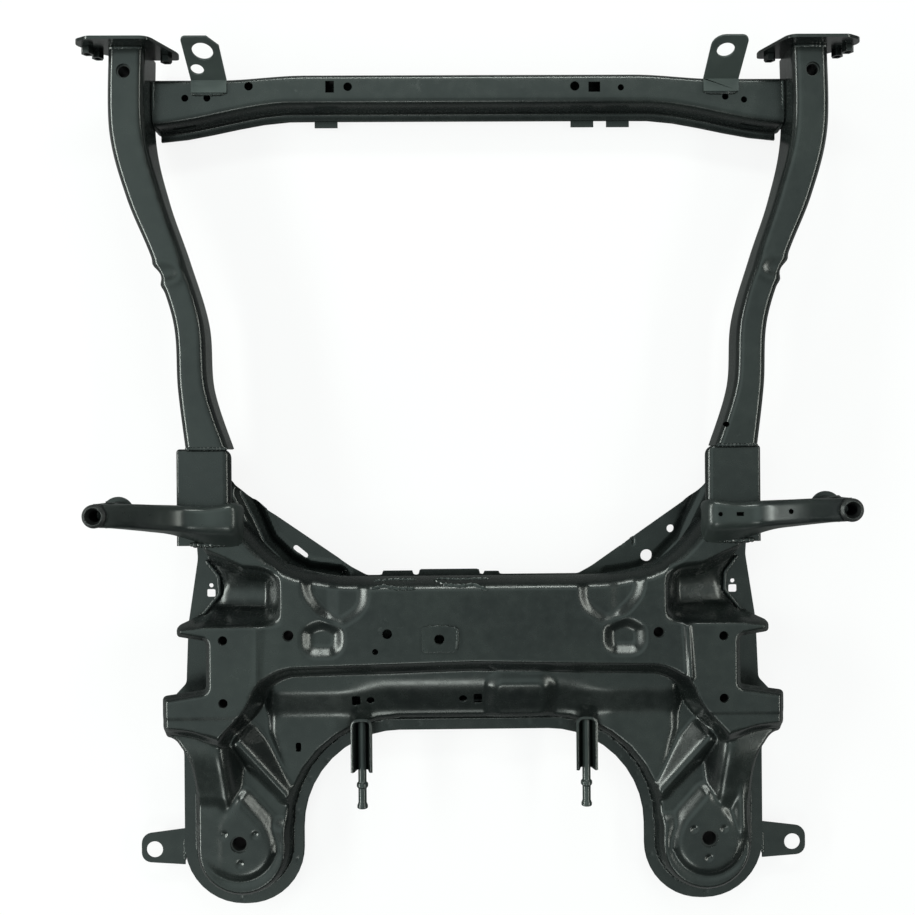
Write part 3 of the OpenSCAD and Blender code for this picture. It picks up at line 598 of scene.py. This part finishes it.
def drill(tool, at, d, depth, turn=Matrix()):
    bmesh.ops.create_cone(tool, cap_ends=True, segments=36, radius1=d / 2 * MM, radius2=d / 2 * MM,
                          depth=depth * MM, matrix=Matrix.Translation(Vector(at) * MM) @ turn)


def punch(tool, at, size):
    shape = Matrix.Translation(Vector(at) * MM) @ Matrix.Diagonal((*(Vector(size) * MM), 1))
    bmesh.ops.create_cube(tool, size=1, matrix=shape)


def cut_by(bm, tool):
    blanks = []
    for name, b in (("blank", bm), ("tool", tool)):
        face_out(b)
        mesh = bpy.data.meshes.new(name)
        b.to_mesh(mesh)
        b.free()
        blanks.append(bpy.data.objects.new(name, mesh))
        bpy.context.scene.collection.objects.link(blanks[-1])
    cut = blanks[0].modifiers.new("cut", "BOOLEAN")
    cut.object = blanks[1]
    cut.operation = "DIFFERENCE"
    cut.solver = "EXACT"
    result = bmesh.new()
    result.from_object(blanks[0], bpy.context.evaluated_depsgraph_get())
    for spent in blanks:
        mesh = spent.data
        bpy.data.objects.remove(spent)
        bpy.data.meshes.remove(mesh)
    return result


# Each row of a rail: its place along y, outer side, inner side and underside.
rail_rows = [(543.3, 448.5, 403.5, 27), (440.5, 448.5, 403.5, 27), (358.5, 428, 383, 40),
             (284.5, 398, 358, 40), (202.5, 371, 334, 40), (120.5, 366, 328, 40), (44.7, 357, 304, 40)]
rail_top, rail_radius, rail_straight = 95, 10.0, 0.2
dent_x, dent_y, dent_z, dent_depth = 379, {-1: 263, 1: 266}, 82, 7
front_mount = (428, 512.5)


def rail_place(s):
    def place(u, v):
        y, x_out, x_in, z_low = through(rail_rows, v * (len(rail_rows) - 1)).T
        r = rail_radius
        corner = np.minimum((u * 4).astype(int), 3)
        f = u * 4 - corner
        bent = np.clip((f - rail_straight) / (1 - 2 * rail_straight), 0, 1)
        turn = bent * np.pi / 2 + corner * np.pi / 2
        nx, nz = np.cos(turn), np.sin(turn)
        x = np.where((corner == 0) | (corner == 3), x_out - r, x_in + r) + r * nx
        z = np.where(corner < 2, rail_top - r, z_low + r) + r * nz
        before = np.clip(1 - f / rail_straight, 0, 1)
        after = np.clip((f - (1 - rail_straight)) / rail_straight, 0, 1)
        mid_x, mid_z = (x_out + x_in) / 2, (rail_top + z_low) / 2
        for part, ends in ((before, (True, False, True, False)), (after, (False, True, False, True))):
            vertical = np.array(ends)[corner]
            z = np.where(vertical, mix(z, mid_z, part), z)
            x = np.where(vertical, x, mix(x, mid_x, part))
        d2 = (x - dent_x) ** 2 / 13 ** 2 + (y - dent_y[s]) ** 2 / 9 ** 2 + (z - dent_z) ** 2 / 16 ** 2
        push = dent_depth * np.exp(-d2) - 2.2 * np.exp(-((np.sqrt(d2) - 1.7) / 0.5) ** 2)
        return s * (x - push * np.maximum(nx, 0.3)), y, z - 0.6 * push * nz
    return place


rail_paint = black_paint("black paint on rails", light=0.95, gloss=0.04, seed=11.0)
for side, s in sides:
    bm = bent_grid(80, 150, rail_place(s), closed=True)
    thicken(bm, sheet_wall)
    face_out(bm)
    tool = bmesh.new()
    drill(tool, (s * front_mount[0], front_mount[1], 90), 18.5, 40)
    drill(tool, (s * front_mount[0], front_mount[1], 25), 16.5, 30)
    if side == "right":
        drill(tool, (317, 70.5, 90), 6.7, 40)
    rail = make_piece(side + "_rail_tube", cut_by(bm, tool), rail_paint)
    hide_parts(side + "_rail")


# Crossmember: the front tie between the rails, a folded upper channel with a flange along its rear edge,
# spot welded to a shallow lower tray. It widens to the rear where it meets the rails.

# Each point of the channel's section: its share of the width, its offset along y and its height.
arc = np.linspace(0, np.pi / 2, 7)
profile = [(0, 0, z) for z in (10, 20, 30, 40, 49)]
profile += [(0, -6 + 6 * math.cos(a), 49 + 6 * math.sin(a)) for a in arc[1:]]
profile += [(k, -6 + 14 * k, 55) for k in (0.15, 0.3, 0.5, 0.7, 0.85)]
profile += [(1, 8 - 8 * math.sin(a), 47 + 8 * math.cos(a)) for a in arc]
profile += [(1, 0, z) for z in (40, 30, 22)]
profile += [(1, -4 + 4 * math.cos(a), 16.5 - 4 * math.sin(a)) for a in arc]
profile = np.array(profile + [(1, -6.5, 12.5), (1, -9, 12.5)])
cross_half, cross_fore, cross_back, cross_top = 403.2, 521.5, 483.5, 55
cross_holes = ((-362, 491.5, 9), (-334, 491.5, 9), (-281, 506.5, 11), (194, 503.5, 8), (328, 491.5, 8.5),
               (352, 487.5, 8), (-155, 505.5, 11), (135, 505.5, 12))


def cross_place(u, v):
    k, dy, z = profile[np.rint(u * (len(profile) - 1)).astype(int)].T
    x = (v * 2 - 1) * cross_half
    fore = cross_fore - 6 * ease((np.abs(x) - 210) / 110)
    back = cross_back - 27 * ease((np.abs(x) - 225) / 190)
    return x, mix(fore, back, k) + dy, z


cross_paint = black_paint("black paint on crossmember", light=1.0, seed=15.0)
bm = bent_grid(len(profile) - 1, 130, cross_place)
if max(bm.faces, key=lambda f: f.calc_center_median().z).normal.z < 0:
    bmesh.ops.reverse_faces(bm, faces=bm.faces[:])
thicken(bm, sheet_wall)
tool = bmesh.new()
for x, y, d in cross_holes:
    drill(tool, (x, y, cross_top), d, 20)
punch(tool, (-178, 505.5, cross_top), (11, 15, 20))
punch(tool, (160, 504.5, cross_top), (15, 13, 20))
for s in (-1, 1):
    punch(tool, (s * 368, 466, 32), (30, 24, 7))
cross = make_piece("crossmember_channel", cut_by(bm, tool), cross_paint)
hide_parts("cross_upper")
softened("cross_lower", "crossmember_tray", 0.9, cross_paint)


# End plates, weld nuts and radiator tabs: thick plates close the front ends of the rails and carry weld
# nuts for the bumper beam. The two tabs on the crossmember are bent from steel strip and are not alike:
# one is chamfered, one rounded.

# The strip paint is five times lighter than the sheet's, as painted light on the radiator tabs.
strip_paint = black_paint("black paint on strip", light=5.0, gloss=-0.2, seed=21.0)
plate_paint = black_paint("black paint on plates", light=0.9, gloss=0.03, seed=19.0)
for side, s in sides:
    softened(side + "_end_plate", side + "_rail_end_plate", 0.9, plate_paint)
    softened(side + "_end_nuts", side + "_weld_nuts", 0.6, plate_paint)
    softened(side + "_radiator_tab", side + "_radiator_bracket", 0.8, strip_paint)


# Horns: arms that rise outward from the sockets to the two upper body mounts. Each is a drawn upper channel
# with a rounded, closed root, a strip that shuts it from below, and a turned sleeve with a washer that is
# welded into the tip.

# Each row of a horn: x, top, y, width, turn of the walls in degrees, draft of the rear wall, and depth.
horn_rows = [(283.6, 97, -41, 16, 0, 6, 4), (284.6, 106, -40.5, 25, 0, 13, 13),
             (288, 115, -39.5, 30, 0, 18, 22), (296, 120.8, -38.8, 33, 0, 21, 28),
             (310, 122.3, -39.6, 31, 0, 22, 29.6), (328, 122.3, -40.5, 29, 0, 20, 29.6),
             (344, 124, -40, 29.5, 12, 13, 29.6), (356, 130, -39, 30, 34, 6, 29.6),
             (370, 143, -37.5, 30, 50, 3, 29.6), (394, 171, -34.5, 29, 56, 1, 29.6),
             (408, 201, -32.8, 27.5, 52, 0, 28), (417, 217, -31.6, 27, 46, 0, 26)]
horn_mount, horn_sleeve_reach = (428, -31.5), 13.7
horn_wall, horn_radius, strip_gap = 2.2, 8, 2.8
crown, crown_and_corner = 0.4, 0.7


def horn_place(s, part):
    def place(u, v):
        x, top, y, w, turn, draft, deep = through(horn_rows, v * (len(horn_rows) - 1)).T
        t = 2 * u - 1
        a, r = np.abs(t), np.minimum(horn_radius, w / 2 - 2)
        corner = np.clip((a - crown) / 0.3, 0, 1) * np.pi / 2
        across = (w / 2 - r) * np.clip(a / crown, 0, 1) + r * np.sin(corner)
        down = (deep - r) * np.clip((a - crown_and_corner) / 0.3, 0, 1)
        drop = np.minimum(r * (1 - np.cos(corner)) + down, deep)
        if part == "strip":
            across, drop = (w / 2 - strip_gap) * a, np.maximum(deep - strip_gap, 0.5)
        y = y + np.where(t < 0, -across - draft * drop / np.maximum(deep, 1), across)
        c, d = np.cos(np.radians(turn)), np.sin(np.radians(turn))
        x, z = x + d * drop, top - c * drop
        from_x, from_y = x - horn_mount[0], y - horn_mount[1]
        far = np.maximum(horn_sleeve_reach / np.maximum(np.hypot(from_x, from_y), 1), 1)
        return s * (horn_mount[0] + from_x * far), horn_mount[1] + from_y * far, z
    return place


# The horn paint is over twice as light as the sheet's, as painted light on the steeply rising arms.
horn_paint = black_paint("black paint on horns", light=2.2, gloss=-0.05, seed=23.0)
for side, s in sides:
    for part, node, columns, up in (("channel", "_horn_upper", 44, 1), ("strip", "_horn_lower", 12, -1)):
        bm = bent_grid(columns, 90, horn_place(s, part))
        if sum(f.normal.z for f in bm.faces) * up < 0:
            bmesh.ops.reverse_faces(bm, faces=bm.faces[:])
        thicken(bm, horn_wall)
        if part == "channel" and side == "right":
            tool = bmesh.new()
            drill(tool, (302, -40, 122), 5.5, 12)
            punch(tool, (326, -40, 122), (9, 5, 12))
            drill(tool, (380, -36, 152), 6.5, 16, Matrix.Rotation(math.radians(-52), 4, "Y"))
            bm = cut_by(bm, tool)
        horn = make_piece(side + "_horn_" + part, bm, horn_paint)
        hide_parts(side + node)
    # The sleeve takes the tube paint, darker than the sheet's as painted shade at the horn's tip.
    softened(side + "_horn_sleeve", side + "_horn_mount_sleeve", 1.2, tube_paint,
             segments=3)
    softened(side + "_horn_washer", side + "_horn_mount_washer", 0.6, plate_paint)


# Exhaust hangers: folded steel brackets on the rear edge of the trough, each holding a steel rod with a
# collar and a knob on which a rubber hanger is pushed.

hanger_x, bracket_half, bracket_front = 143, 13.8, -298.7
bracket_top, bracket_depth, bracket_roll = 67.4, 16.5, 1.5


def bracket_outline(rear):
    return rounded([(bracket_half, bracket_front, 9), (-bracket_half, bracket_front, 9),
                    (-bracket_half, rear, 0), (bracket_half, rear, 0)])


bracket_edge, bracket_rim = bracket_outline(-366.3), bracket_outline(-420)


def bracket_drawn(s):
    def height(q):
        d = to_line(q - [s * hanger_x, 0], bracket_rim)[0]
        return bracket_top - bracket_depth * inside(d + 5.6, 5) - bracket_roll * inside(-d - 1.2, 2.4)
    return height


# The rod paint is three times lighter than the sheet's, as painted light on the hanger rods.
rod_paint = black_paint("rod paint with painted light", light=3.0, gloss=0.04, seed=31.0)
for side, s in sides:
    bm = pressed_sheet(bracket_edge + [s * hanger_x, 0], [], bracket_drawn(s), 1.0)
    bracket = make_piece(side + "_exhaust_bracket", bm, plate_paint, height=bracket_drawn(s))
    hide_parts(side + "_hanger_bracket")
    softened(side + "_hanger_rod", side + "_exhaust_hook", 0.7, rod_paint, segments=3)


# Weld beads: arc welds, laid by hand and by robot over the seams after assembly. They are rows of
# overlapping lumps, shinier than the sheet because the paint draws thin on them.

weld_paint = black_paint("black paint on welds", light=1.3, gloss=0.06, seed=23.0)
chance = np.random.default_rng(5)
bead_step, bead_sides = 1.1, 12


def bead(bm, path, r, flat=0.6, pitch=5.0):
    path = np.array(path, float)
    run = np.r_[0, np.cumsum(np.linalg.norm(np.diff(path, axis=0), axis=1))]
    n = max(int(run[-1] / bead_step), 6)
    at = np.linspace(0, run[-1], n + 1)
    line = np.stack([np.interp(at, run, path[:, i]) for i in range(3)], 1)
    along = np.gradient(line, axis=0)
    along /= np.linalg.norm(along, axis=1)[:, None]
    side = np.cross(along, (0, 0, 1.0) if abs(along[0][2]) < 0.8 else (0, 1.0, 0))
    side /= np.linalg.norm(side, axis=1)[:, None]
    rise = np.cross(side, along)
    lumps = 0.78 + 0.34 * np.abs(np.sin(np.pi * at / pitch + chance.uniform(0, 3)))
    size = r * lumps * chance.uniform(0.9, 1.1, n + 1)
    size *= np.sqrt(np.clip(np.minimum(at, run[-1] - at) / (1.5 * r) + 0.02, 0, 1))
    made = bmesh.ops.create_grid(bm, x_segments=bead_sides, y_segments=n, size=1)["verts"]
    for v in made:
        i, a = int(round((v.co.y + 1) / 2 * n)), math.pi * (v.co.x + 1)
        v.co = Vector((line[i] + size[i] * (math.cos(a) * side[i] + flat * math.sin(a) * rise[i])) * MM)
    bmesh.ops.remove_doubles(bm, verts=made, dist=0.00001)
    bmesh.ops.holes_fill(bm, edges=[e for e in bm.edges if e.is_boundary], sides=0)
    face_out(bm)


def on_shell(points, lift=0.3):
    flat = np.array(points, float)
    return np.c_[flat, shell_height(flat) + lift]


# On the cradle: the front edge of the beam, the reinforcing plate, then both half-pipes, ears and tabs.
seams = bmesh.new()
bead(seams, on_shell([(-127, -131), (-112, -128), (-95, -131), (-72, -131)]), 3.0, 0.5, 9)
bead(seams, on_shell([(-125, -123), (-98, -121.5), (-72, -122)], -1), 2.4, 0.6, 7)
bead(seams, on_shell([(-50, -122), (-36, -127), (-16, -129), (0, -127), (18, -134)]), 3.2, 0.5, 8)
bead(seams, on_shell([(-46, -121), (-20, -122), (20, -121.5)], -1), 2.4, 0.6, 7)
bead(seams, [(-25, -178.5, 92.6), (-20.5, -183, 92.4), (-20.5, -196, 92.2), (-22, -208, 92.4)], 2.0, 0.7, 4)
bead(seams, [(-58, -178.2, 91.6), (-30, -178.2, 91.8)], 1.2, 0.7, 6)
for s in (-1, 1):
    bead(seams, [(s * 347, -99, 25), (s * 330, -121, 25.5), (s * 329, -143, 25.5), (s * 349, -168, 25),
                 (s * 364, -178, 24)], 2.4)
    bead(seams, [(s * 387.5, -266, 70), (s * 388, -278, 72), (s * 388, -296, 66), (s * 387, -312, 44)],
         3.0, 0.8, 4)
    bead(seams, [(s * 377.5, -491, 20.6), (s * 377.3, -462, 20.6)], 2.2)
make_piece("cradle_weld_beads", seams, weld_paint)

# On the frame: sockets, end plates, crossmember ends and horn roots, then the two radiator tabs.
joints = bmesh.new()
for s in (-1, 1):
    bead(joints, [(s * 356, 45, 94), (s * 330, 44.5, 95.2), (s * 303, 44.6, 94)], 2.2)
    bead(joints, [(s * 447, 542, 93), (s * 426, 542, 95), (s * 405, 542, 93)], 2.6)
    bead(joints, [(s * 402, 514, 55), (s * 402.5, 490, 55), (s * 402.5, 460, 52)], 2.4)
    bead(joints, [(s * 402.5, 456.5, 50), (s * 402.5, 455.5, 14)], 2.4)
    bead(joints, [(s * 352, -73.5, 93.5), (s * 330, -74.5, 93.5), (s * 300, -73, 93)], 3.4, 0.8, 7)
    bead(joints, [(s * 292, -64, 93), (s * 287, -52, 93), (s * 287, -36, 93)], 2.6)
bead(joints, [(-354, 497, 55.6), (-333, 496.5, 55.8), (-312, 497, 55.6)], 2.6)
bead(joints, [(302, 497, 55.6), (322, 496.5, 55.8), (342, 497, 55.6)], 2.6)
make_piece("frame_weld_beads", joints, weld_paint)


# Floor, light and camera: a plain pale floor, a soft dome that is dimmer overhead, four long soft lamps
# standing round the frame, and a camera that looks straight down on it.

floor_size, floor_drop, floor_white = 6, 0.0006, 0.86
floor_mesh = bpy.data.meshes.new("floor")
bm = bmesh.new()
bmesh.ops.create_grid(bm, x_segments=2, y_segments=2, size=floor_size)
bm.to_mesh(floor_mesh)
bm.free()
floor = bpy.data.objects.new("floor", floor_mesh)
floor.location.z = -floor_drop
bpy.context.scene.collection.objects.link(floor)

# The floor is white to the camera, and paint mirrors it as a ring that is dark close to the frame,
# a painted shadow of the frame seen in reflections.
floor_paint = bpy.data.materials.new("pale floor")
floor_paint.use_nodes = True
add, link, ramp, combine = node_tools(floor_paint.node_tree)
matte = floor_paint.node_tree.nodes["Principled BSDF"]
matte.inputs["Base Color"].default_value = (floor_white, floor_white, floor_white, 1)
matte.inputs["Roughness"].default_value = 0.9
white = add("ShaderNodeEmission")
seen = add("ShaderNodeLightPath")
direct = combine("MAXIMUM", (seen, "Is Camera Ray"), (seen, "Is Transmission Ray"))
spot = add("ShaderNodeTexCoord")
reach = add("ShaderNodeVectorMath", operation="LENGTH")
link(spot, "Object", reach, 0)
painted_shadow_ring = ramp(reach, "Value", (0.55, 0.95), (0.05, 0.5))
mirrored = combine("MULTIPLY_ADD", (seen, "Is Glossy Ray"), (painted_shadow_ring, "Result"), (direct, "Value"))
link(mirrored, "Value", white, "Strength")
share = combine("MAXIMUM", (seen, "Is Glossy Ray"), (direct, "Value"))
part = combine("MULTIPLY", (share, "Value"))
part.inputs[1].default_value = 0.86
blend = add("ShaderNodeMixShader")
link(part, "Value", blend, "Fac")
link(matte, "BSDF", blend, 1)
link(white, "Emission", blend, 2)
link(blend, "Shader", floor_paint.node_tree.nodes["Material Output"], "Surface")
floor_mesh.materials.append(floor_paint)

# The dome is brighter above, to the left and to the front, with a dimmer patch straight overhead.
world = bpy.data.worlds.new("studio")
bpy.context.scene.world = world
world.use_nodes = True
add, link, ramp, combine = node_tools(world.node_tree)
sky = world.node_tree.nodes["Background"]
aim = add("ShaderNodeTexCoord")
parts = add("ShaderNodeSeparateXYZ")
link(aim, "Generated", parts, "Vector")
dome = ramp(parts, "Z", (0.55, 0.97), (0.07, 0.84), interpolation_type="SMOOTHSTEP")
across = ramp(parts, "X", (-0.8, 0.8), (1.6, 0.4))
along = ramp(parts, "Y", (-0.8, 0.8), (0.6, 1.3))
over = add("ShaderNodeVectorMath", operation="DISTANCE")
over.inputs[1].default_value = (0.05, -0.12, 1.0)
link(aim, "Generated", over, 0)
shade = ramp(over, "Value", (0.03, 0.30), (0.42, 1.0), interpolation_type="SMOOTHSTEP")
fade = combine("MULTIPLY", (dome, "Result"), (across, "Result"))
soft = combine("MULTIPLY", (fade, "Value"), (along, "Result"))
dim = combine("MULTIPLY", (soft, "Value"), (shade, "Result"))
seen = add("ShaderNodeLightPath")
direct = combine("MAXIMUM", (seen, "Is Camera Ray"), (seen, "Is Transmission Ray"))
level = add("ShaderNodeMix", B=1.0)
link(direct, "Value", level, "Factor")
link(dim, "Value", level, "A")
link(level, "Result", sky, "Strength")
tone = add("ShaderNodeMix", data_type="RGBA", A=(0.80, 1.0, 0.95, 1), B=(1, 1, 1, 1))
link(direct, "Value", tone, "Factor")
link(tone, "Result", sky, "Color")


def lamp(name, spot, aim, size, power, colour):
    light = bpy.data.lights.new(name, "AREA")
    light.shape = "RECTANGLE"
    light.size, light.size_y = size
    light.energy = power
    light.color = colour
    holder = bpy.data.objects.new(name, light)
    holder.location = spot
    holder.rotation_euler = (Vector(aim) - Vector(spot)).to_track_quat("-Z", "Y").to_euler()
    bpy.context.scene.collection.objects.link(holder)


lamp("lamp left", (-2.3, -0.1, 1.3), (0, -0.1, 0.05), (3.2, 0.34), 64, (0.92, 1.0, 0.94))
lamp("lamp right", (2.0, -0.1, 1.6), (0, -0.1, 0.05), (3.2, 0.26), 30, (0.94, 1.0, 0.92))
lamp("lamp front", (0.1, 2.0, 1.6), (0, 0, 0.05), (1.5, 0.26), 26, (0.92, 1.0, 0.94))
lamp("lamp rear", (-0.16, -1.85, 1.75), (0, 0, 0.05), (0.7, 0.30), 6.5, (0.92, 1.0, 0.94))

picture_px, focal_px, shift_px, sensor = 915, 1120, -14, 36
camera_place = (0, 0.0315, 1.485)
lean = Matrix.Rotation(math.radians(-0.8), 4, "Y")
roll = Matrix.Rotation(math.radians(-0.45), 4, "Z")
camera = bpy.data.objects.new("camera", bpy.data.cameras.new("camera"))
camera.data.lens = sensor * focal_px / picture_px
camera.data.sensor_width = sensor
camera.data.shift_x = shift_px / picture_px
camera.matrix_world = lean @ Matrix.Translation(camera_place) @ roll
bpy.context.scene.collection.objects.link(camera)
bpy.context.scene.camera = camera
bpy.context.scene.view_settings.view_transform = "Standard"
